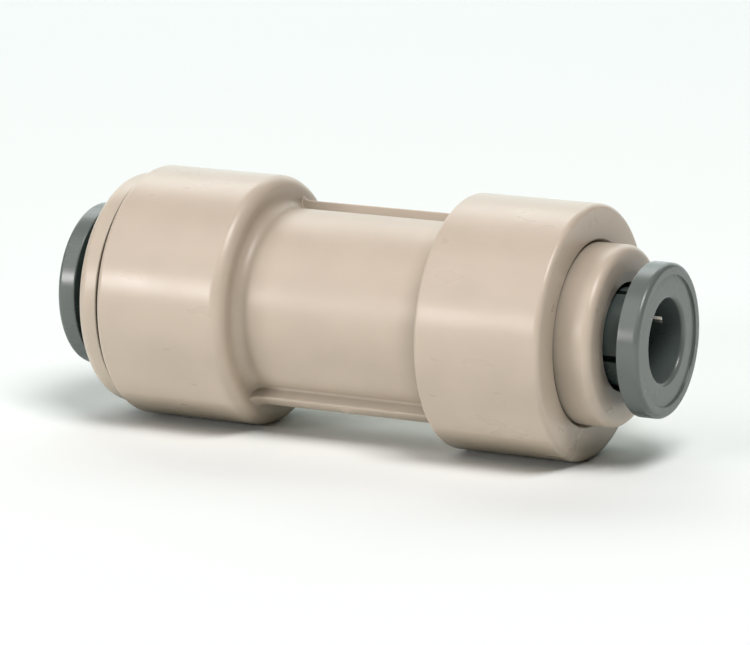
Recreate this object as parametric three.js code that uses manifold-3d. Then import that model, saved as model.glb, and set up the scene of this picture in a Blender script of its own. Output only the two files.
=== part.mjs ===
// A push-to-connect reducing straight union for plastic tube.
//
// One moulded body carries two tube sockets on one axis. Each socket holds an O-ring, a cap
// that is pressed into the body, and a split collet with steel teeth. The collet slides
// along the axis: pulled outwards its heads wedge in the cap's taper and grip the tube,
// pushed inwards it lets the tube go.
//
// Frame: X is the axis, +X points out of the smaller socket, +Z is up, and the origin is
// on the axis at the middle of the length. All sizes are in millimetres.

import * as THREE from 'three';
import { mergeVertices } from 'three/addons/utils/BufferGeometryUtils.js';
import Module from 'manifold-3d';

const wasm = await Module();
wasm.setup();

// ---- driving dimensions -------------------------------------------------------------

const SEGMENTS = 40; // facets round every turned surface
const ARC_STEPS = 3; // facets along a rounded edge

// Body
const RING_RADIUS = 10.2;
const RING_INNER_X = 8.6; // both rings' inner faces lie this far from the middle
const RIGHT_RING_END = 19.3;
const LEFT_RING_END = 20.05;
const BARREL_RADIUS = 7.65;
const FLOW_BORE_RADIUS = 2.4;
const LEFT_INNER_EDGE = 1.0; // edge roundings of the rings
const RIGHT_INNER_EDGE = 0.3;
const RING_END_EDGE = 0.45;
const BARREL_FILLET = 0.9;
const SEAT_LEAD = 0.2; // chamfer at the mouth of a cap's seat

// The two ribs along the barrel are the edges of one plate through the axis.
const RIB_REACH = 8.6;
const RIB_THICKNESS = 1.7;
const RIB_TILT = THREE.MathUtils.degToRad(31); // lower rib leans from -Z towards -Y
const RIB_ROOT = 0.4; // how far the plate runs into each ring

// Clearances
const PRESSED_GAP = 0.06; // radial gap of a pressed or seated piece
const SEAT_GAP = 0.1; // axial gap of a pressed or seated piece
const HEAD_GAP = 0.42; // axial gap behind the left cap's wide head
const POCKET_GAP = 0.1; // gap round a tooth in its pocket

// O-rings
const O_RING_SECTION_RADIUS = 1.0;
const O_RING_SQUEEZE = 0.12; // how far an O-ring's inside reaches past the tube's surface
const O_RING_SIDES = 10;

// Teeth
const TOOTH_THICKNESS = 0.3;
const TOOTH_BITE = 0.13; // how far a tooth's edge reaches past the tube's surface
const TOOTH_SLOPE = 1.25; // rise per millimetre along the axis
const TOOTH_ROOT_DEPTH = 1.3; // how deep a tooth sits in its leg
const TOOTH_FILL = 0.5; // part of the angle between two slots that a tooth covers
const TOOTH_SETBACK = 1; // from a head's lead chamfer to its tooth

// Each socket. Axial sizes are distances from the middle of the union.
const RIGHT_PORT = {
  name: 'right',
  side: 1,
  tubeRadius: 3.175,
  colletBore: 3.3,
  stop: 8.3,
  glandFloor: 12.6,
  capSeat: 15.0,
  capRadius: 7.2,
  capHeadRadius: 7.2,
  cavityRadius: 5.9,
  camStart: 18.4,
  camEnd: 20.9,
  mouthRadius: 4.3,
  dishRadius: 5.2,
  capFront: 22.2,
  capFrontEdge: 0.7,
  neckRadius: 3.9,
  flangeRadius: 6.12,
  recessRadius: 5.2,
  flangeRear: 24.0,
  flangeFront: 25.8,
  colletInner: 16.9,
  outwardTravel: 0,
  slots: 4,
  firstSlot: -16,
};
const LEFT_PORT = {
  name: 'left',
  side: -1,
  tubeRadius: 4.0,
  colletBore: 4.1,
  stop: 6.5,
  glandFloor: 12.6,
  capSeat: 15.2,
  capRadius: 8.3,
  capHeadRadius: 9.45,
  headStart: LEFT_RING_END + HEAD_GAP,
  cavityRadius: 6.8,
  camStart: 18.6,
  camEnd: 21.2,
  mouthRadius: 5.2,
  dishRadius: 6.1,
  capFront: 22.35,
  capFrontEdge: 0.9,
  neckRadius: 4.75,
  flangeRadius: 6.7,
  recessRadius: 5.8,
  flangeRear: 24.15,
  flangeFront: 25.8,
  colletInner: 16.9,
  outwardTravel: 0.5,
  slots: 6,
  firstSlot: 0,
};
const PORTS = [LEFT_PORT, RIGHT_PORT];

// Collet details
const SLOT_WIDTH = 0.55;
const SLOT_STOP = 0.25; // web left between a slot and the flange
const CAM_CLEARANCE = 0.09; // radial gap between a head and the cap's taper at the outer stop
const FLANGE_EDGE = 0.4;
const RECESS_DEPTH = 0.18; // the flange's face lies this far inside its rim
const BORE_LIP = 0.35;
const HEAD_LEAD = 0.5; // chamfer on the inner end of the heads
const HEAD_CLEARANCE = 0.25; // radial gap between the heads and the cap's cavity
const DISH_DEPTH = 0.12; // a cap's face is dished this deep round its mouth
const CAP_LEAD = 0.3; // chamfer on the inner end of a cap
const EDGE_BREAK = 0.1;

const OVERLAP = 1; // how far a cutting solid runs past what it cuts

// ---- materials ----------------------------------------------------------------------

const material = (color, roughness, metalness) =>
  new THREE.MeshStandardMaterial({ color, roughness, metalness });

const BODY_MATERIAL = material(0xcfc0b0, 0.42, 0);
const CAP_MATERIAL = material(0xcdbfa9, 0.42, 0);
const COLLET_MATERIAL = material(0x5f645f, 0.38, 0);
const SEAL_MATERIAL = material(0x1b1b1b, 0.6, 0);
const STEEL_MATERIAL = material(0xb9bcc0, 0.3, 1);

// ---- shapes -------------------------------------------------------------------------

// A profile point: distance along the axis, then distance from the axis.
const at = (along, radius) => new THREE.Vector2(radius, along);

// A quarter round between two profile points, about the corner's centre.
function round(centreAlong, centreRadius, size, startDegrees, endDegrees) {
  const points = [];
  for (let i = 0; i <= ARC_STEPS; i += 1) {
    const degrees = startDegrees + ((endDegrees - startDegrees) * i) / ARC_STEPS;
    const angle = THREE.MathUtils.degToRad(degrees);
    points.push(at(centreAlong + size * Math.cos(angle), centreRadius + size * Math.sin(angle)));
  }
  return points;
}

// Turns a closed or axis-to-axis profile about the X axis. A facet faces straight down.
function turn(profile, side = 1) {
  const points = profile.map((point) => new THREE.Vector2(point.x, point.y * side));
  if (THREE.ShapeUtils.area(points) < 0) points.reverse();
  if (points[0].x > 0 || points.at(-1).x > 0) points.push(points[0].clone());
  const geometry = new THREE.LatheGeometry(points, SEGMENTS, Math.PI / SEGMENTS);
  return solidOf(geometry.rotateZ(-Math.PI / 2));
}

function solidOf(geometry) {
  geometry.deleteAttribute('normal');
  geometry.deleteAttribute('uv');
  const merged = mergeVertices(geometry);
  const mesh = new wasm.Mesh({
    numProp: 3,
    vertProperties: new Float32Array(merged.attributes.position.array),
    triVerts: new Uint32Array(merged.index.array),
  });
  return new wasm.Manifold(mesh);
}

function geometryOf(solid) {
  const mesh = solid.getMesh();
  const geometry = new THREE.BufferGeometry();
  geometry.setAttribute('position', new THREE.BufferAttribute(mesh.vertProperties, 3));
  geometry.setIndex(new THREE.BufferAttribute(mesh.triVerts, 1));
  geometry.computeVertexNormals();
  return geometry;
}

function piece(name, solid, pieceMaterial) {
  const mesh = new THREE.Mesh(geometryOf(solid), pieceMaterial);
  mesh.name = name;
  return mesh;
}

// Angles round the axis are in degrees from -Y towards +Z.
const turnTo = (geometry, degrees) => geometry.rotateX(-THREE.MathUtils.degToRad(degrees));

// A thin box that reaches from the axis out to a radius, along part of the length.
function slotCutter(port, degrees) {
  const inner = port.colletInner - OVERLAP;
  const outer = port.flangeRear - SLOT_STOP;
  const reach = port.cavityRadius + OVERLAP;
  const box = new THREE.BoxGeometry(outer - inner, reach, SLOT_WIDTH);
  box.translate((port.side * (inner + outer)) / 2, -reach / 2, 0);
  return solidOf(turnTo(box, degrees));
}

// A wedge about the axis, wide enough to cut one tooth from a ring.
function wedge(port, degrees, halfAngleDegrees) {
  const reach = 2 * port.cavityRadius;
  const half = THREE.MathUtils.degToRad(halfAngleDegrees);
  const outline = new THREE.Shape([
    new THREE.Vector2(0, 0),
    new THREE.Vector2(reach * Math.cos(half), -reach * Math.sin(half)),
    new THREE.Vector2(reach * Math.cos(half), reach * Math.sin(half)),
  ]);
  const length = port.flangeRear - port.capSeat;
  const geometry = new THREE.ExtrudeGeometry(outline, { depth: length, bevelEnabled: false });
  geometry.rotateY(Math.PI / 2);
  geometry.translate(port.side > 0 ? port.capSeat : -port.flangeRear, 0, 0);
  return solidOf(turnTo(geometry, degrees + 90));
}

// ---- the body -----------------------------------------------------------------------

function outerBody() {
  const edge = LEFT_INNER_EDGE;
  const small = RIGHT_INNER_EDGE;
  const end = RING_END_EDGE;
  return turn([
    at(-LEFT_RING_END, 0),
    ...round(-LEFT_RING_END + end, RING_RADIUS - end, end, 180, 90),
    ...round(-RING_INNER_X - edge, RING_RADIUS - edge, edge, 90, 0),
    ...round(-RING_INNER_X + BARREL_FILLET, BARREL_RADIUS + BARREL_FILLET, BARREL_FILLET, 180, 270),
    ...round(RING_INNER_X - BARREL_FILLET, BARREL_RADIUS + BARREL_FILLET, BARREL_FILLET, 270, 360),
    ...round(RING_INNER_X + small, RING_RADIUS - small, small, 180, 90),
    ...round(RIGHT_RING_END - end, RING_RADIUS - end, end, 90, 0),
    at(RIGHT_RING_END, 0),
  ]);
}

function ribPlate() {
  const length = 2 * (RING_INNER_X + RIB_ROOT);
  const plate = new THREE.BoxGeometry(length, RIB_THICKNESS, 2 * RIB_REACH);
  return solidOf(plate.rotateX(-RIB_TILT));
}

const oRingRadius = (port) => port.tubeRadius - O_RING_SQUEEZE + O_RING_SECTION_RADIUS;

// The stepped hollow of one socket: cap seat, O-ring gland, tube bore.
function socket(port) {
  const seatRadius = port.capRadius + PRESSED_GAP;
  const glandRadius = oRingRadius(port) + O_RING_SECTION_RADIUS + PRESSED_GAP;
  const beyond = port.capFront;
  const end = port.side > 0 ? RIGHT_RING_END : LEFT_RING_END;
  return turn(
    [
      at(port.stop, 0),
      at(port.stop, port.colletBore),
      at(port.glandFloor, port.colletBore),
      at(port.glandFloor, glandRadius),
      at(port.capSeat, glandRadius),
      at(port.capSeat, seatRadius),
      at(end - SEAT_LEAD, seatRadius),
      at(end, seatRadius + SEAT_LEAD),
      at(beyond, seatRadius + SEAT_LEAD),
      at(beyond, 0),
    ],
    port.side,
  );
}

function flowBore() {
  return turn([
    at(-LEFT_PORT.stop - OVERLAP, 0),
    at(-LEFT_PORT.stop - OVERLAP, FLOW_BORE_RADIUS),
    at(RIGHT_PORT.stop + OVERLAP, FLOW_BORE_RADIUS),
    at(RIGHT_PORT.stop + OVERLAP, 0),
  ]);
}

function unionBody() {
  const solid = outerBody()
    .add(ribPlate())
    .subtract(socket(LEFT_PORT))
    .subtract(socket(RIGHT_PORT))
    .subtract(flowBore());
  return piece('union_body', solid, BODY_MATERIAL);
}

// ---- the pieces of one socket -------------------------------------------------------

function retainingCap(port) {
  const inner = port.capSeat + SEAT_GAP;
  const edge = port.capFrontEdge;
  const head = port.capHeadRadius > port.capRadius
    ? [
      at(port.headStart, port.capRadius),
      at(port.headStart, port.capHeadRadius - EDGE_BREAK),
      at(port.headStart + EDGE_BREAK, port.capHeadRadius),
    ]
    : [];
  const solid = turn(
    [
      at(inner, port.capRadius - CAP_LEAD),
      at(inner + CAP_LEAD, port.capRadius),
      ...head,
      ...round(port.capFront - edge, port.capHeadRadius - edge, edge, 90, 0),
      at(port.capFront, port.dishRadius),
      at(port.capFront - DISH_DEPTH, port.mouthRadius),
      at(port.camEnd, port.mouthRadius),
      at(port.camStart, port.cavityRadius),
      at(inner, port.cavityRadius),
    ],
    port.side,
  );
  return piece(`${port.name}_retaining_cap`, solid, CAP_MATERIAL);
}

function oRing(port) {
  const centre = (port.glandFloor + port.capSeat) / 2;
  const circle = [];
  for (let i = 0; i < O_RING_SIDES; i += 1) {
    const angle = (2 * Math.PI * i) / O_RING_SIDES;
    circle.push(
      at(
        centre + O_RING_SECTION_RADIUS * Math.cos(angle),
        oRingRadius(port) + O_RING_SECTION_RADIUS * Math.sin(angle),
      ),
    );
  }
  return piece(`${port.name}_o_ring`, turn(circle, port.side), SEAL_MATERIAL);
}

// The cone that a tooth is cut from, grown by a gap to make its pocket.
function toothCone(port, gap) {
  const tipRadius = port.tubeRadius - TOOTH_BITE - gap;
  const rootRadius = port.colletBore + TOOTH_ROOT_DEPTH + gap;
  const slant = Math.hypot(1, TOOTH_SLOPE);
  const halfWidth = ((TOOTH_THICKNESS / 2 + gap) * slant) / TOOTH_SLOPE;
  const middle = port.colletInner + HEAD_LEAD + TOOTH_SETBACK;
  const along = (radius) => middle + (radius - port.colletBore - TOOTH_ROOT_DEPTH / 2) / TOOTH_SLOPE;
  return turn(
    [
      at(along(tipRadius) - halfWidth, tipRadius),
      at(along(rootRadius) - halfWidth, rootRadius),
      at(along(rootRadius) + halfWidth, rootRadius),
      at(along(tipRadius) + halfWidth, tipRadius),
    ],
    port.side,
  );
}

const slotAngles = (port) =>
  Array.from({ length: port.slots }, (_, i) => port.firstSlot + (360 / port.slots) * i);
const toothAngles = (port) => slotAngles(port).map((degrees) => degrees + 180 / port.slots);
const toothHalfAngle = (port) => (180 / port.slots) * TOOTH_FILL;

function tooth(port, degrees, number) {
  const solid = toothCone(port, 0).intersect(wedge(port, degrees, toothHalfAngle(port)));
  return piece(`${port.name}_grip_tooth_${number}`, solid, STEEL_MATERIAL);
}

// Flange, slotted neck, and legs that end in tapered heads.
function collet(port) {
  const headRadius = port.cavityRadius - HEAD_CLEARANCE;
  const taper = (port.cavityRadius - port.mouthRadius) / (port.camEnd - port.camStart);
  const taperAt = (radius) =>
    port.camStart + (port.cavityRadius - CAM_CLEARANCE - radius) / taper - port.outwardTravel;
  const lip = BORE_LIP;
  const edge = FLANGE_EDGE;
  const face = port.flangeFront - RECESS_DEPTH;
  let solid = turn(
    [
      at(port.colletInner, port.colletBore + EDGE_BREAK),
      at(port.colletInner, headRadius - HEAD_LEAD),
      at(port.colletInner + HEAD_LEAD, headRadius),
      at(taperAt(headRadius), headRadius),
      at(taperAt(port.neckRadius), port.neckRadius),
      at(port.flangeRear, port.neckRadius),
      at(port.flangeRear, port.flangeRadius - EDGE_BREAK),
      at(port.flangeRear + EDGE_BREAK, port.flangeRadius),
      ...round(port.flangeFront - edge, port.flangeRadius - edge, edge, 90, 0),
      at(port.flangeFront, port.recessRadius),
      at(face, port.recessRadius),
      ...round(face - lip, port.colletBore + lip, lip, 0, -90),
      at(port.colletInner + EDGE_BREAK, port.colletBore),
    ],
    port.side,
  );
  for (const degrees of slotAngles(port)) {
    solid = solid.subtract(slotCutter(port, degrees));
  }
  const pocketRing = toothCone(port, POCKET_GAP);
  const gapAngle = THREE.MathUtils.radToDeg(POCKET_GAP / port.colletBore);
  for (const degrees of toothAngles(port)) {
    const cutter = wedge(port, degrees, toothHalfAngle(port) + gapAngle);
    solid = solid.subtract(pocketRing.intersect(cutter));
  }
  return piece(`${port.name}_collet`, solid, COLLET_MATERIAL);
}

// ---- the assembly -------------------------------------------------------------------

const union = new THREE.Group();
union.name = 'push_to_connect_union';
union.add(unionBody());
for (const port of PORTS) {
  union.add(retainingCap(port), oRing(port), collet(port));
  toothAngles(port).forEach((degrees, i) => union.add(tooth(port, degrees, i + 1)));
}

export default union;
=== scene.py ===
"""Looks for a push-to-connect reducing union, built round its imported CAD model.

Every visible and inner piece is a fine turned or lofted mesh that stands for its CAD node.
Lengths are in millimetres until the meshes are made. The union's axis is X, and angles
round it are in degrees from -Y towards +Z, as in the CAD model.
"""

import math

import bmesh
import bpy
from mathutils import Matrix, Vector


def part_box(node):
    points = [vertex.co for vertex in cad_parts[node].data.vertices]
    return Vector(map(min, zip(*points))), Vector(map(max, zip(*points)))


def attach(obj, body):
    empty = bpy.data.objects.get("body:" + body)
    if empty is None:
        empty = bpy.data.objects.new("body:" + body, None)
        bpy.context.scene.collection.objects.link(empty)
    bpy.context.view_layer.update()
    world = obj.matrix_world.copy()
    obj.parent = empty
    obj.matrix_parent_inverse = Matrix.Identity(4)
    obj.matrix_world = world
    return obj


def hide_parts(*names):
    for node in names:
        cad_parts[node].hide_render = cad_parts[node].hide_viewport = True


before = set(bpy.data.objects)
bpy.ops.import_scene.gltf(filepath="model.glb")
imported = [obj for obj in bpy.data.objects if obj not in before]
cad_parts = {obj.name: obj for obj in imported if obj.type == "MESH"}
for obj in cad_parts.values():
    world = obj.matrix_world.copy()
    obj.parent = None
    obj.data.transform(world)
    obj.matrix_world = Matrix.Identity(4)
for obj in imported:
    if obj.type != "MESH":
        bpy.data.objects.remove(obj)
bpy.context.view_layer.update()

MM = 0.001


# ---- sizes from the frame -----------------------------------------------------------

def span(node):
    """The node's lowest and highest distance along the axis, in millimetres."""
    low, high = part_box(node)
    return low.x / MM, high.x / MM


def reach(node):
    """The node's largest distance from the axis, in millimetres."""
    return max(math.hypot(v.co.y, v.co.z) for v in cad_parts[node].data.vertices) / MM


BODY_LOW, BODY_HIGH = span("union_body")
RING_RADIUS = reach("union_body")

# The rest of the body, as in the CAD model
RING_INNER_X = 8.6
BARREL_RADIUS = 7.65
FLOW_BORE_RADIUS = 2.4
LEFT_INNER_EDGE = 1.0
RIGHT_INNER_EDGE = 0.3
RING_END_EDGE = 0.45
BARREL_FILLET = 0.9
RIB_REACH = 8.6
RIB_THICKNESS = 1.7
RIB_ANGLES = (-59.0, 121.0)
RIB_ROOT_FILLET = 0.22
RIB_TIP_EDGE = 0.16
FINE_EDGE = 0.08
GATE_RADIUS = 0.55
GATE_HEIGHT = 0.14
GATE_EDGE_POWER = 8  # how steeply the gate mark's edge falls
RIB_ARC_STEPS = 7
RIB_TOP_STEPS = 5
BARREL_STATIONS = (1, 1.2, 1.6, 2.5, 4, 6)  # ring spacing away from the gate mark
LONG_STRETCH = 5
CLOSE = 1e-6

# Fineness of the meshes
COLUMNS = 160  # points round the axis
ARC_STEP = 9.0  # degrees between two points of a rounding
GUARD = 0.06  # distance of a straight stretch's extra points from its ends


class Port:
    """One socket. Axial sizes are distances from the middle of the union."""

    def __init__(self, name, side, **sizes):
        self.name = name
        self.side = side
        self.collet_inner, self.flange_front = self.outward(f"{name}_collet")
        self.cap_inner, self.cap_front = self.outward(f"{name}_retaining_cap")
        self.flange_radius = reach(f"{name}_collet")
        self.cap_head_radius = reach(f"{name}_retaining_cap")
        self.__dict__.update(sizes)

    def outward(self, node):
        ends = sorted(abs(x) for x in span(node))
        return ends[0], ends[1]


RIGHT = Port(
    "right", 1,
    tube_radius=3.175, bore=3.3, stop=8.3, gland_floor=12.6, cap_seat=15.0,
    cap_radius=7.2, cavity_radius=5.9, cam_start=18.4, cam_end=20.9, mouth_radius=4.3,
    dish_radius=5.2, front_edge=0.7, neck_radius=3.9, flange_rear=24.0, recess_radius=5.2,
    outward_travel=0.0, slots=4, first_slot=-16,
)

HEAD_GAP = 0.42  # axial gap behind the left cap's wide head
LEFT = Port(
    "left", -1,
    tube_radius=4.0, bore=4.1, stop=6.5, gland_floor=12.6, cap_seat=15.2,
    cap_radius=8.3, head_start=-BODY_LOW + HEAD_GAP, cavity_radius=6.8, cam_start=18.6,
    cam_end=21.2, mouth_radius=5.2, dish_radius=6.1, front_edge=0.9, neck_radius=4.75,
    flange_rear=24.15, recess_radius=5.8, outward_travel=0.5, slots=6, first_slot=0,
)

# Sizes that both sockets share
SOCKET_GAP = 0.06  # radial gap round a pressed or seated piece
SEAT_LEAD = 0.2  # chamfer at the mouth of a cap's seat
HEAD_STEP = 0.5  # a cap with a head wider than its seat by more than this has a step
DISH_DEPTH = 0.12  # a cap's face is dished this deep round its mouth
RECESS_DEPTH = 0.18  # a flange's face lies this far inside its rim
SLOT_WIDTH = 0.55
SLOT_STOP = 0.25  # web between a slot and the flange
HEAD_CLEARANCE = 0.25
CAM_CLEARANCE = 0.09
HEAD_LEAD = 0.5
FLANGE_EDGE = 0.4
BORE_LIP = 0.35
O_RING_SECTION = 1.0
O_RING_SQUEEZE = 0.12
O_RING_SIDES = 48
O_RING_COLUMNS = 120
FLASH = 0.03  # height of the mould line on an O-ring
TOOTH_THICKNESS = 0.3
TOOTH_BITE = 0.13
TOOTH_SLOPE = 1.25  # rise per millimetre along the axis
TOOTH_ROOT_DEPTH = 1.3
TOOTH_FILL = 0.5  # part of the angle between two slots that a tooth covers
TOOTH_SETBACK = 1  # from a head's lead chamfer to its tooth
TOOTH_TIP_SHARE = 0.25  # part of the thickness that is left at a tooth's edge
TOOTH_GRIND = 0.35  # a tooth thins towards its edge over about this depth
TOOTH_COLUMNS = 24
TOOTH_ROWS = 10

# Small roundings
RECESS_EDGE = 0.04
SHARP_EDGE = 0.05
MOUTH_EDGE = 0.06
RIM_EDGE = 0.07
LEG_EDGE = 0.1
REAR_EDGE = 0.12
HEAD_EDGE = 0.15
LEAD_EDGE = 0.3

# ---- camera -------------------------------------------------------------------------

CAMERA_AZIMUTH = 27.6
CAMERA_ELEVATION = 11.6
CAMERA_DISTANCE = 0.361
CAMERA_LENS = 215.8
CAMERA_DROP = 0.00095  # how far the view's centre lies below the origin


def direction(azimuth, elevation):
    """From the origin, in degrees. Azimuth 0 is the front, -Y, and 90 is +X."""
    a, e = math.radians(azimuth), math.radians(elevation)
    return Vector((math.sin(a) * math.cos(e), -math.cos(a) * math.cos(e), math.sin(e)))


def add_camera():
    back = direction(CAMERA_AZIMUTH, CAMERA_ELEVATION)
    up = direction(CAMERA_AZIMUTH, CAMERA_ELEVATION + 90)
    data = bpy.data.cameras.new("camera")
    data.sensor_width = 36
    data.lens = CAMERA_LENS
    data.clip_start = 0.01
    data.clip_end = 20
    camera = bpy.data.objects.new("camera", data)
    right = up.cross(back)
    camera.matrix_world = Matrix(
        ((right.x, up.x, back.x), (right.y, up.y, back.y), (right.z, up.z, back.z))
    ).to_4x4()
    camera.location = back * CAMERA_DISTANCE - up * CAMERA_DROP
    bpy.context.collection.objects.link(camera)
    bpy.context.scene.camera = camera


# ---- profiles -----------------------------------------------------------------------

def rounded(corners):
    """A closed outline from corners (x, radius, rounding), each with its rounding as an arc.

    Straight stretches get a point close to each end, so that smooth shading stays in the arcs.
    """
    points = []
    count = len(corners)
    for i, (x, r, size) in enumerate(corners):
        here = Vector((x, r))
        before = (Vector(corners[i - 1][:2]) - here).normalized()
        after = (Vector(corners[(i + 1) % count][:2]) - here).normalized()
        if size <= 0:
            points.append(here)
            continue
        opening = before.angle(after)
        middle = (before + after).normalized()
        centre = here + middle * size / math.sin(opening / 2)
        start = here + before * size / math.tan(opening / 2) - centre
        sweep = (math.pi - opening) * (1 if before.cross(after) < 0 else -1)
        steps = max(2, round(math.degrees(abs(sweep)) / ARC_STEP))
        for k in range(steps + 1):
            points.append(centre + Matrix.Rotation(sweep * k / steps, 2) @ start)
    outline = []
    for i, point in enumerate(points):
        following = points[(i + 1) % len(points)]
        outline.append(point)
        length = (following - point).length
        if length > 4 * GUARD:
            along = (following - point) / length
            outline.append(point + along * GUARD)
            outline.append(following - along * GUARD)
    return [(p.x, p.y) for p in outline]


def around(x, radius, degrees):
    """The point at a distance along the axis, a radius and an angle round the axis."""
    angle = math.radians(degrees)
    return (x, -radius * math.cos(angle), radius * math.sin(angle))


# ---- meshes -------------------------------------------------------------------------

def finish_mesh(mesh, name, bevel=0.0):
    """Turns a bmesh in millimetres into a smooth-shaded object in metres."""
    bmesh.ops.delete(mesh, geom=[v for v in mesh.verts if not v.link_faces], context="VERTS")
    bmesh.ops.scale(mesh, vec=(MM, MM, MM), verts=mesh.verts)
    bmesh.ops.recalc_face_normals(mesh, faces=mesh.faces)
    data = bpy.data.meshes.new(name)
    mesh.to_mesh(data)
    mesh.free()
    data.shade_smooth()
    piece = bpy.data.objects.new(name, data)
    bpy.context.collection.objects.link(piece)
    if bevel:
        modifier = piece.modifiers.new("edges", "BEVEL")
        modifier.width = bevel * MM
        modifier.segments = 3
        modifier.limit_method = "ANGLE"
        modifier.angle_limit = math.radians(40)
        modifier.use_clamp_overlap = False
    piece.modifiers.new("weighted", "WEIGHTED_NORMAL")
    bpy.context.view_layer.update()
    depsgraph = bpy.context.evaluated_depsgraph_get()
    final = bpy.data.meshes.new_from_object(piece.evaluated_get(depsgraph))
    piece.modifiers.clear()
    piece.data = final
    final.name = name
    return piece


def skin(rows, hidden=lambda row, column: False):
    """A closed surface from rows of points that follow the profile and go round the axis."""
    mesh = bmesh.new()
    grid = [[mesh.verts.new(point) for point in row] for row in rows]
    row_count, column_count = len(rows), len(rows[0])
    for i in range(row_count):
        below = grid[(i + 1) % row_count]
        for j in range(column_count):
            if not hidden(i, j):
                k = (j + 1) % column_count
                mesh.faces.new((grid[i][j], grid[i][k], below[k], below[j]))
    return mesh, grid


def turned(name, outline, columns=COLUMNS):
    angles = [360 * j / columns for j in range(columns)]
    rows = [[around(x, r, angle) for angle in angles] for x, r in outline]
    mesh, _ = skin(rows)
    return finish_mesh(mesh, name)


def mirrored(port, corners):
    return [(x * port.side, r, size) for x, r, size in corners]


# ---- the body -----------------------------------------------------------------------

def rib_columns():
    """(angle from the rib's middle, surface radius) across one rib, from foot to foot."""
    half = RIB_THICKNESS / 2
    foot = Vector((half + RIB_ROOT_FILLET, 0))
    foot.y = math.sqrt((BARREL_RADIUS + RIB_ROOT_FILLET) ** 2 - foot.x ** 2)
    start = math.atan2(-foot.y, -foot.x)
    side = []
    for i in range(RIB_ARC_STEPS + 1):
        angle = start + (-math.pi - start) * i / RIB_ARC_STEPS
        side.append(foot + RIB_ROOT_FILLET * Vector((math.cos(angle), math.sin(angle))))
    corner = Vector((half - RIB_TIP_EDGE, RIB_REACH - RIB_TIP_EDGE))
    side.append(side[-1] + Vector((0, GUARD)))
    side.append(corner + Vector((RIB_TIP_EDGE, -GUARD)))
    for i in range(RIB_ARC_STEPS + 1):
        angle = math.pi / 2 * i / RIB_ARC_STEPS
        side.append(corner + RIB_TIP_EDGE * Vector((math.cos(angle), math.sin(angle))))
    for i in range(1, RIB_TOP_STEPS + 1):
        side.append(Vector((corner.x * (1 - i / RIB_TOP_STEPS), RIB_REACH)))
    half_rib = [(math.degrees(math.atan2(p.x, p.y)), p.length) for p in side]
    return half_rib + [(-angle, radius) for angle, radius in reversed(half_rib[:-1])]


def body_columns():
    """(angle, surface radius of the barrel there) for every column round the body."""
    ribs = rib_columns()
    width = ribs[0][0]
    columns = []
    for middle, following in zip(RIB_ANGLES, (RIB_ANGLES[1], RIB_ANGLES[0] + 360)):
        columns += [(middle - angle, radius) for angle, radius in ribs]
        first, last = middle + width, following - width
        steps = COLUMNS // 2
        columns += [
            (first + (last - first) * i / steps, BARREL_RADIUS) for i in range(1, steps)
        ]
    return columns


def gate_mark(x, radius, degrees):
    """How far the round gate mark stands up from the middle of the lower rib."""
    sideways = radius * math.radians(degrees - RIB_ANGLES[0])
    distance = math.hypot(x, sideways) / GATE_RADIUS
    return GATE_HEIGHT / (1 + distance ** GATE_EDGE_POWER) if distance < 3 else 0.0


def body_outline():
    """Corners of the body's profile, clockwise from the left ring's end."""
    def hollow(port):
        seat = port.cap_radius + SOCKET_GAP
        gland = port.tube_radius - O_RING_SQUEEZE + 2 * O_RING_SECTION + SOCKET_GAP
        end = -BODY_LOW if port.side < 0 else BODY_HIGH
        return mirrored(port, [
            (end, seat + SEAT_LEAD, SHARP_EDGE),
            (end - SEAT_LEAD, seat, SHARP_EDGE),
            (port.cap_seat, seat, FINE_EDGE),
            (port.cap_seat, gland, FINE_EDGE),
            (port.gland_floor, gland, FINE_EDGE),
            (port.gland_floor, port.bore, HEAD_EDGE),
            (port.stop, port.bore, FINE_EDGE),
            (port.stop, FLOW_BORE_RADIUS, FINE_EDGE),
        ])

    return [
        (BODY_LOW, RING_RADIUS, RING_END_EDGE),
        (-RING_INNER_X, RING_RADIUS, LEFT_INNER_EDGE),
        (-RING_INNER_X, BARREL_RADIUS, BARREL_FILLET),
        (RING_INNER_X, BARREL_RADIUS, BARREL_FILLET),
        (RING_INNER_X, RING_RADIUS, RIGHT_INNER_EDGE),
        (BODY_HIGH, RING_RADIUS, RING_END_EDGE),
        *hollow(RIGHT),
        *reversed(hollow(LEFT)),
    ]


def split_barrel(outline):
    """Adds points along the barrel, closer together near the gate mark."""
    near = [i / 10 for i in range(-9, 10)]
    stations = [-x for x in reversed(BARREL_STATIONS)] + near + list(BARREL_STATIONS)
    result = []
    for i, point in enumerate(outline):
        following = outline[(i + 1) % len(outline)]
        result.append(point)
        on_barrel = abs(point[1] - BARREL_RADIUS) < CLOSE
        if on_barrel and following[0] - point[0] > LONG_STRETCH:
            result += [(x, point[1]) for x in stations]
    return result


def union_body():
    """The ribs rise from the barrel and run out where they meet the rings."""
    outline = split_barrel(rounded(body_outline()))
    columns = body_columns()
    left_top = RING_RADIUS - LEFT_INNER_EDGE
    right_top = RING_RADIUS - RIGHT_INNER_EDGE
    rows = []
    for x, r in outline:
        row = []
        top = left_top if x < 0 else right_top
        in_waist = abs(x) <= RING_INNER_X + CLOSE and BARREL_RADIUS - CLOSE <= r < top
        for angle, surface in columns:
            radius = r
            if in_waist:
                radius = surface + (r - BARREL_RADIUS) * (top - surface) / (top - BARREL_RADIUS)
                radius += gate_mark(x, radius, angle)
            row.append(around(x, radius, angle))
        rows.append(row)
    mesh, _ = skin(rows)
    return finish_mesh(mesh, "moulded_body")


# ---- caps, seals, collets and teeth -------------------------------------------------

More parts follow.
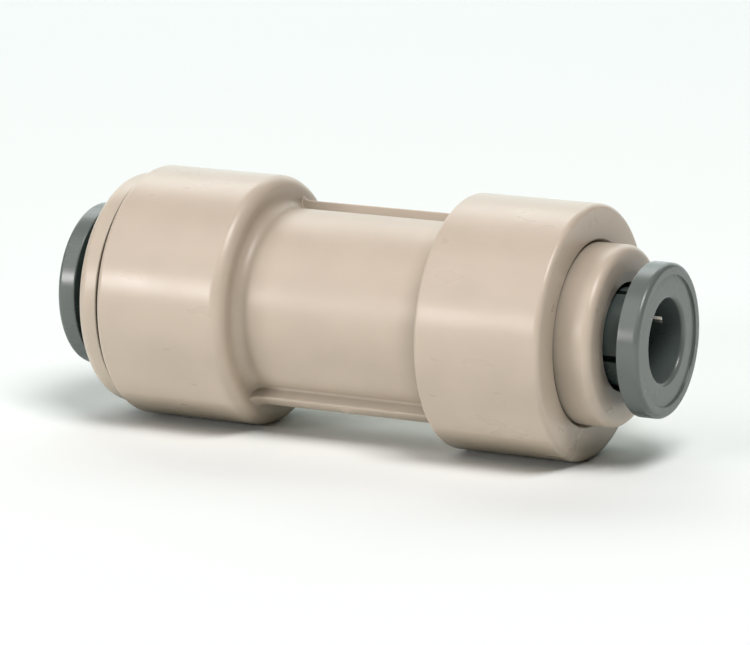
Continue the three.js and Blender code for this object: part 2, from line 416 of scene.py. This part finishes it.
def retaining_cap(port):
    head = []
    if port.cap_head_radius > port.cap_radius + HEAD_STEP:
        head = [
            (port.head_start, port.cap_radius, FINE_EDGE),
            (port.head_start, port.cap_head_radius, REAR_EDGE),
        ]
    corners = [
        (port.cap_inner, port.cavity_radius, FINE_EDGE),
        (port.cap_inner, port.cap_radius, LEAD_EDGE),
        *head,
        (port.cap_front, port.cap_head_radius, port.front_edge),
        (port.cap_front, port.dish_radius, SHARP_EDGE),
        (port.cap_front - DISH_DEPTH, port.mouth_radius, MOUTH_EDGE),
        (port.cam_end, port.mouth_radius, FINE_EDGE),
        (port.cam_start, port.cavity_radius, FINE_EDGE),
    ]
    return turned(f"{port.name}_cap", rounded(mirrored(port, corners)))


def o_ring(port):
    """A seal ring with the thin flash line that its mould leaves round the outside and inside."""
    centre = (port.gland_floor + port.cap_seat) / 2 * port.side
    middle = port.tube_radius - O_RING_SQUEEZE + O_RING_SECTION
    outline = []
    for i in range(O_RING_SIDES):
        angle = 2 * math.pi * i / O_RING_SIDES
        on_line = i % (O_RING_SIDES // 2) == O_RING_SIDES // 4
        size = O_RING_SECTION if on_line else O_RING_SECTION - FLASH
        outline.append((centre + size * math.cos(angle), middle + size * math.sin(angle)))
    return turned(f"{port.name}_seal", outline, O_RING_COLUMNS)


def tooth(port, degrees, number):
    """A spring-steel blade: a slanted sector of a cone with its edge towards the tube."""
    tip = port.tube_radius - TOOTH_BITE
    root = port.bore + TOOTH_ROOT_DEPTH
    middle = port.collet_inner + HEAD_LEAD + TOOTH_SETBACK
    half_width = TOOTH_THICKNESS / 2 * math.hypot(1, TOOTH_SLOPE) / TOOTH_SLOPE
    half_angle = 180 / port.slots * TOOTH_FILL
    steps = TOOTH_COLUMNS
    radii = [tip + (root - tip) * i / TOOTH_ROWS for i in range(TOOTH_ROWS + 1)]
    mesh = bmesh.new()
    layers = []
    for side in (-1, 1):
        layer = []
        for radius in radii:
            x = middle + (radius - port.bore - TOOTH_ROOT_DEPTH / 2) / TOOTH_SLOPE
            sharpened = min(1.0, TOOTH_TIP_SHARE + (radius - tip) / TOOTH_GRIND)
            x += side * half_width * sharpened
            layer.append([
                mesh.verts.new(around(
                    x * port.side, radius, degrees + half_angle * (2 * j / steps - 1)))
                for j in range(steps + 1)
            ])
        layers.append(layer)
    for layer in layers:
        for below, above in zip(layer, layer[1:]):
            for j in range(steps):
                mesh.faces.new((below[j], below[j + 1], above[j + 1], above[j]))
    for first, second in (
        (layers[0][0], layers[1][0]),
        (layers[0][-1], layers[1][-1]),
        ([row[0] for row in layers[0]], [row[0] for row in layers[1]]),
        ([row[-1] for row in layers[0]], [row[-1] for row in layers[1]]),
    ):
        for j in range(len(first) - 1):
            mesh.faces.new((first[j], first[j + 1], second[j + 1], second[j]))
    return finish_mesh(mesh, f"{port.name}_tooth_{number}", bevel=0.03)


def collet_outline(port):
    head = port.cavity_radius - HEAD_CLEARANCE
    taper = (port.cavity_radius - port.mouth_radius) / (port.cam_end - port.cam_start)

    def taper_at(radius):
        return (port.cam_start - port.outward_travel
                + (port.cavity_radius - CAM_CLEARANCE - radius) / taper)

    slot_end = port.flange_rear - SLOT_STOP
    face = port.flange_front - RECESS_DEPTH
    return rounded(mirrored(port, [
        (port.collet_inner, port.bore, LEG_EDGE),
        (port.collet_inner, head - HEAD_LEAD, LEG_EDGE),
        (port.collet_inner + HEAD_LEAD, head, HEAD_EDGE),
        (taper_at(head), head, HEAD_EDGE),
        (taper_at(port.neck_radius), port.neck_radius, LEAD_EDGE),
        (slot_end, port.neck_radius, 0),
        (port.flange_rear, port.neck_radius, LEG_EDGE),
        (port.flange_rear, port.flange_radius, REAR_EDGE),
        (port.flange_front, port.flange_radius, FLANGE_EDGE),
        (port.flange_front, port.recess_radius, RIM_EDGE),
        (face, port.recess_radius, RECESS_EDGE),
        (face, port.bore, BORE_LIP),
        (slot_end, port.bore, 0),
    ]))


def collet(port):
    """Flange and neck, cut lengthwise by parallel-sided slots into legs with tapered heads."""
    outline = collet_outline(port)
    slot_end = port.flange_rear - SLOT_STOP
    per_leg = COLUMNS // port.slots
    step = 360 / port.slots
    rows = []
    for x, r in outline:
        half = math.degrees(math.asin(SLOT_WIDTH / 2 / r))
        row = []
        for slot in range(port.slots):
            middle = port.first_slot + step * slot
            row.append(around(x, r, middle - half))
            row.append(around(x, r, middle))
            first, last = middle + half, middle + step - half
            row += [around(x, r, first + (last - first) * i / per_leg) for i in range(per_leg)]
        rows.append(row)
    width = per_leg + 2
    count = len(outline)

    def slotted(i):
        return abs(outline[i][0]) <= slot_end + CLOSE

    def hidden(i, j):
        return j % width < 2 and slotted(i) and slotted((i + 1) % count)

    # Each leg's cut sides are capped, and so is the end of each slot.
    mesh, grid = skin(rows, hidden)
    start = next(i for i in range(count) if slotted(i) and not slotted(i - 1))
    leg = []
    i = start
    while slotted(i):
        leg.append(i)
        i = (i + 1) % count
    for slot in range(port.slots):
        edges = (slot * width, slot * width + 2)
        for column in edges:
            mesh.faces.new([grid[i][column] for i in leg])
        for column in (edges[0], edges[0] + 1):
            first, last = grid[leg[0]], grid[leg[-1]]
            mesh.faces.new((first[column], first[column + 1], last[column + 1], last[column]))
    return finish_mesh(mesh, f"{port.name}_release_collet", bevel=0.05)


# ---- materials ----------------------------------------------------------------------

class Nodes:
    """A small helper round one material's node tree."""

    def __init__(self, name):
        self.material = bpy.data.materials.new(name)
        self.material.use_nodes = True
        self.tree = self.material.node_tree
        self.shader = self.tree.nodes["Principled BSDF"]
        self.coordinates = self.add("ShaderNodeTexCoord").outputs["Object"]

    def add(self, kind, **settings):
        node = self.tree.nodes.new(kind)
        for key, value in settings.items():
            setattr(node, key, value)
        return node

    def link(self, output, socket):
        self.tree.links.new(output, socket)

    def noise(self, scale, detail=3.0, stretch=None):
        node = self.add("ShaderNodeTexNoise")
        node.inputs["Scale"].default_value = scale
        node.inputs["Detail"].default_value = detail
        source = self.coordinates
        if stretch:
            mapping = self.add("ShaderNodeMapping")
            mapping.inputs["Scale"].default_value = stretch
            self.link(source, mapping.inputs["Vector"])
            source = mapping.outputs["Vector"]
        self.link(source, node.inputs["Vector"])
        return node.outputs["Fac"]

    def spread(self, value, low, high, from_low=0.3, from_high=0.7):
        node = self.add("ShaderNodeMapRange")
        node.inputs["From Min"].default_value = from_low
        node.inputs["From Max"].default_value = from_high
        node.inputs["To Min"].default_value = low
        node.inputs["To Max"].default_value = high
        self.link(value, node.inputs["Value"])
        return node.outputs["Result"]

    def mix(self, factor, first, second):
        node = self.add("ShaderNodeMix", data_type="RGBA")
        colours = [s for s in node.inputs if s.type == "RGBA"]
        for socket, colour in zip(colours, (first, second)):
            if hasattr(colour, "is_linked"):
                self.link(colour, socket)
            else:
                socket.default_value = (*colour, 1)
        self.link(factor, node.inputs["Factor"])
        return [s for s in node.outputs if s.type == "RGBA"][0]

    def edges(self):
        """1 on sharp convex edges and 0 elsewhere."""
        geometry = self.add("ShaderNodeNewGeometry")
        return self.spread(geometry.outputs["Pointiness"], 0.0, 1.0, 0.505, 0.56)

    def crevice_shade(self, reach, exponent):
        """Painted shade: 1 deep in gaps and inside corners, where shade falls, and 0 in the open.
        """
        node = self.add("ShaderNodeAmbientOcclusion", samples=8)
        node.inputs["Distance"].default_value = reach
        power = self.add("ShaderNodeMath", operation="POWER")
        self.link(self.spread(node.outputs["AO"], 1.0, 0.0, 0.0, 1.0), power.inputs[0])
        power.inputs[1].default_value = exponent
        return power.outputs["Value"]

    def bump(self, heights):
        """Chains bump layers of (height, strength, distance in metres)."""
        normal = None
        for height, strength, distance in heights:
            node = self.add("ShaderNodeBump")
            node.inputs["Strength"].default_value = strength
            node.inputs["Distance"].default_value = distance
            self.link(height, node.inputs["Height"])
            if normal:
                self.link(normal, node.inputs["Normal"])
            normal = node.outputs["Normal"]
        self.link(normal, self.shader.inputs["Normal"])

    def set(self, **sockets):
        for name, value in sockets.items():
            self.shader.inputs[name.replace("_", " ")].default_value = value


def scaled(colour, factor):
    return tuple(c * factor for c in colour)


def moulded_plastic(
    name, colour, painted_shade_colour, painted_shade_reach, falloff, roughness, glow, glow_depth, polish=None
):
    """Satin acetal: faint clouding, fine mould texture, handling marks, softened edges, painted
    shade in gaps and corners.
    """
    nodes = Nodes(name)
    clouds = nodes.noise(260, 4)
    flow = nodes.noise(500, 3, stretch=(0.35, 1, 1))
    grain = nodes.noise(5200, 2)
    marks = nodes.noise(1900, 6, stretch=(1, 0.12, 0.12))
    base = nodes.mix(nodes.spread(clouds, 0, 1), scaled(colour, 0.965), scaled(colour, 1.02))
    base = nodes.mix(nodes.spread(flow, 0, 0.35, 0.45, 0.7), base, scaled(colour, 1.05))
    base = nodes.mix(nodes.spread(nodes.edges(), 0, 0.35, 0, 1), base, scaled(colour, 1.18))
    # Painted shade: the colour darkens towards a shade colour in gaps, inside corners and
    # recesses
    base = nodes.mix(nodes.crevice_shade(painted_shade_reach, falloff), base, painted_shade_colour)
    nodes.link(base, nodes.shader.inputs["Base Color"])
    shine = nodes.spread(flow, roughness - 0.03, roughness + 0.05)
    if polish:
        shine = polish(nodes, shine)
    nodes.link(shine, nodes.shader.inputs["Roughness"])
    nodes.bump([
        (flow, 0.12, 0.00006),
        (grain, 0.10, 0.00001),
        (nodes.spread(marks, 0, 1, 0.62, 0.75), 0.05, 0.00001),
    ])
    nodes.set(
        Subsurface_Weight=glow,
        Subsurface_Radius=(1.0, 0.75, 0.55),
        Subsurface_Scale=glow_depth,
        IOR=1.48,
    )
    return nodes.material


def polished_rings(nodes, shine):
    """The rings are worn smoother than the barrel between them."""
    axes = nodes.add("ShaderNodeSeparateXYZ")
    nodes.link(nodes.coordinates, axes.inputs[0])
    distance = nodes.add("ShaderNodeMath", operation="ABSOLUTE")
    nodes.link(axes.outputs["X"], distance.inputs[0])
    begins, complete = (RING_INNER_X - 0.4) * MM, (RING_INNER_X + 0.8) * MM
    on_ring = nodes.spread(distance.outputs["Value"], 1.0, RING_POLISH, begins, complete)
    polished = nodes.add("ShaderNodeMath", operation="MULTIPLY")
    nodes.link(shine, polished.inputs[0])
    nodes.link(on_ring, polished.inputs[1])
    return polished.outputs["Value"]


def seal_rubber():
    nodes = Nodes("seal_rubber")
    clouds = nodes.noise(900, 4)
    grain = nodes.noise(9000, 2)
    base = nodes.mix(nodes.spread(clouds, 0, 1), (0.012, 0.012, 0.012), (0.03, 0.03, 0.029))
    nodes.link(base, nodes.shader.inputs["Base Color"])
    nodes.link(nodes.spread(clouds, 0.42, 0.6), nodes.shader.inputs["Roughness"])
    nodes.bump([(grain, 0.2, 0.00001)])
    return nodes.material


def spring_steel():
    nodes = Nodes("spring_steel")
    brushed = nodes.noise(4000, 3, stretch=(0.05, 1, 1))
    base = nodes.mix(nodes.spread(brushed, 0, 1), (0.42, 0.43, 0.44), (0.62, 0.63, 0.64))
    nodes.link(base, nodes.shader.inputs["Base Color"])
    nodes.link(nodes.spread(brushed, 0.22, 0.38), nodes.shader.inputs["Roughness"])
    nodes.bump([(brushed, 0.15, 0.00001)])
    nodes.set(Metallic=1.0)
    return nodes.material


BODY_COLOUR = (0.578, 0.485, 0.392)
CAP_COLOUR = (0.58, 0.49, 0.395)
COLLET_COLOUR = (0.140, 0.158, 0.148)
# Colours of the shade painted into gaps, inside corners and recesses of each plastic
BODY_PAINTED_SHADE = (0.20, 0.17, 0.115)
CAP_PAINTED_SHADE = (0.07, 0.08, 0.065)
COLLET_PAINTED_SHADE = (0.012, 0.03, 0.028)
RING_POLISH = 0.76  # share of the barrel's roughness that the rings keep


def add_pieces():
    # Painted shade darkens the barrel beside the rings and the body's inside corners
    body_plastic = moulded_plastic(
        "beige_acetal", BODY_COLOUR, BODY_PAINTED_SHADE, painted_shade_reach=0.003, falloff=0.85,
        roughness=0.38, glow=0.05, glow_depth=0.0008, polish=polished_rings,
    )
    # Painted shade darkens the cap's face round its mouth, under the collet's flange
    cap_plastic = moulded_plastic(
        "cap_acetal", CAP_COLOUR, CAP_PAINTED_SHADE, painted_shade_reach=0.0025, falloff=1.5,
        roughness=0.30, glow=0.05, glow_depth=0.0008,
    )
    # Painted shade darkens the collet's bore and the gaps round it
    collet_plastic = moulded_plastic(
        "grey_acetal", COLLET_COLOUR, COLLET_PAINTED_SHADE, painted_shade_reach=0.009, falloff=1.3,
        roughness=0.24, glow=0.02, glow_depth=0.0003,
    )
    rubber = seal_rubber()
    steel = spring_steel()

    def place(piece, material, body, node):
        piece.data.materials.clear()
        piece.data.materials.append(material)
        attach(piece, body)
        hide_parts(node)

    place(union_body(), body_plastic, "housing", "union_body")
    for port in (LEFT, RIGHT):
        name = port.name
        release = f"{name}_release"
        place(retaining_cap(port), cap_plastic, "housing", f"{name}_retaining_cap")
        place(o_ring(port), rubber, "housing", f"{name}_o_ring")
        place(collet(port), collet_plastic, release, f"{name}_collet")
        step = 360 / port.slots
        for i in range(port.slots):
            degrees = port.first_slot + step * (i + 0.5)
            node = f"{name}_grip_tooth_{i + 1}"
            place(tooth(port, degrees, i + 1), steel, release, node)


# ---- floor and light ----------------------------------------------------------------

FLOOR_SIZE = 3.0
FLOOR_COLOUR = (0.90, 0.93, 0.915)
LIGHT_DISTANCE = 1.0
WHITE = (1, 1, 1)
WARM = (1.0, 0.97, 0.965)
COOL = (0.90, 1.0, 0.985)


def add_floor():
    mesh = bmesh.new()
    bmesh.ops.create_grid(mesh, x_segments=2, y_segments=2, size=FLOOR_SIZE)
    data = bpy.data.meshes.new("floor")
    mesh.to_mesh(data)
    mesh.free()
    floor = bpy.data.objects.new("floor", data)
    floor.location.z = -RING_RADIUS * MM
    bpy.context.collection.objects.link(floor)
    nodes = Nodes("pale_floor")
    nodes.set(Base_Color=(*FLOOR_COLOUR, 1), Roughness=0.9, Specular_IOR_Level=0.1)
    data.materials.append(nodes.material)


def add_softbox(name, azimuth, elevation, size, watts, colour):
    """An area light that looks at the origin."""
    data = bpy.data.lights.new(name, "AREA")
    data.shape = "RECTANGLE"
    data.size, data.size_y = size
    data.energy = watts
    data.color = colour
    light = bpy.data.objects.new(name, data)
    towards = direction(azimuth, elevation)
    light.location = towards * LIGHT_DISTANCE
    light.rotation_euler = towards.to_track_quat("Z", "Y").to_euler()
    bpy.context.collection.objects.link(light)


def add_lights():
    add_softbox("key", 50, 60, (0.44, 0.44), 7.4, WARM)
    add_softbox("left_softbox", 322, 45, (0.70, 0.70), 2.35, WARM)
    add_softbox("front_strip", 328, 13, (0.22, 0.18), 2.7, WARM)
    add_softbox("backdrop_low", 205, 14, (1.6, 0.5), 3.4, COOL)
    add_softbox("backdrop_high", 205, 42, (1.2, 0.45), 3.4, COOL)
    add_softbox("back_left", 224, 48, (0.40, 0.40), 0.75, WHITE)
    world = bpy.data.worlds.new("studio")
    world.use_nodes = True
    background = world.node_tree.nodes["Background"]
    background.inputs["Color"].default_value = (1, 1, 1, 1)
    background.inputs["Strength"].default_value = 0.02
    bpy.context.scene.world = world
    bpy.context.scene.view_settings.view_transform = "Standard"


add_camera()
add_pieces()
add_floor()
add_lights()
